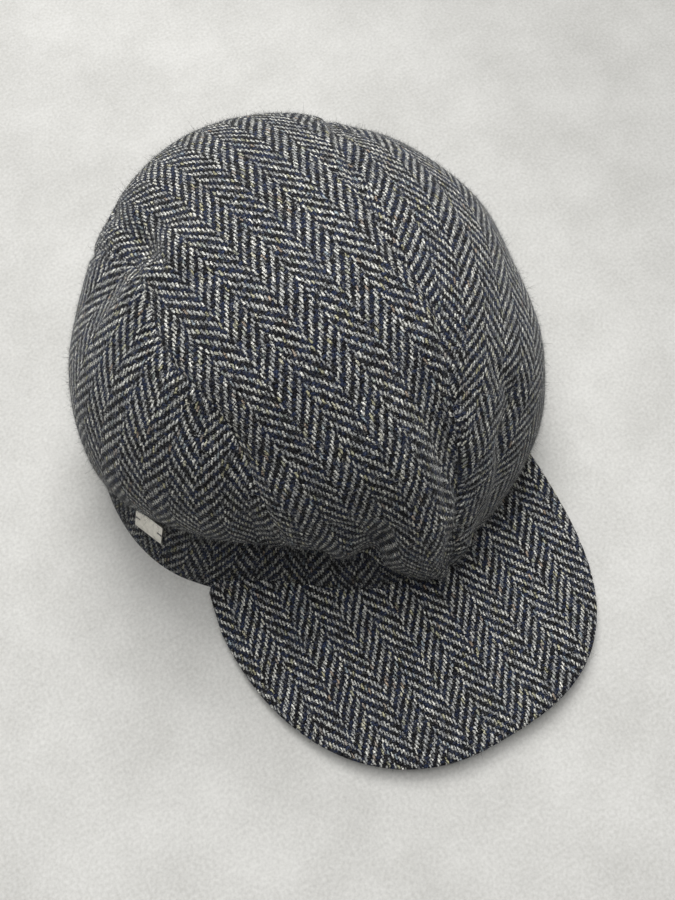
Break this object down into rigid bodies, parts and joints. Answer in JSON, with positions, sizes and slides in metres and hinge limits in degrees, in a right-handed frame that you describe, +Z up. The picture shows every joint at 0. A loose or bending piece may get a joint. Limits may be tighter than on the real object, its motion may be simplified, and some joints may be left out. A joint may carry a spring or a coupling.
{
  "type": "peaked tweed cap",
  "caption": "Soft peaked cap in herringbone tweed: crown of three panels, outer band, stiff cloth-covered peak and a small plain metal plaque.",
  "frame": {"origin": "on the floor under the middle of the cap's bounding box", "axes": "+Z up, -Y toward the front where the peak is, +X toward the wearer's left"},
  "size_m": [0.1986, 0.2766, 0.108],
  "materials": {
    "tweed": "napped wool herringbone",
    "plaque_metal": "satin"
  },
  "bodies": {
    "root": {"crown_centre": "tweed", "crown_left": "tweed", "crown_right": "tweed", "band": "tweed", "peak": "tweed", "plaque": "plaque_metal"}
  },
  "joints": []
}
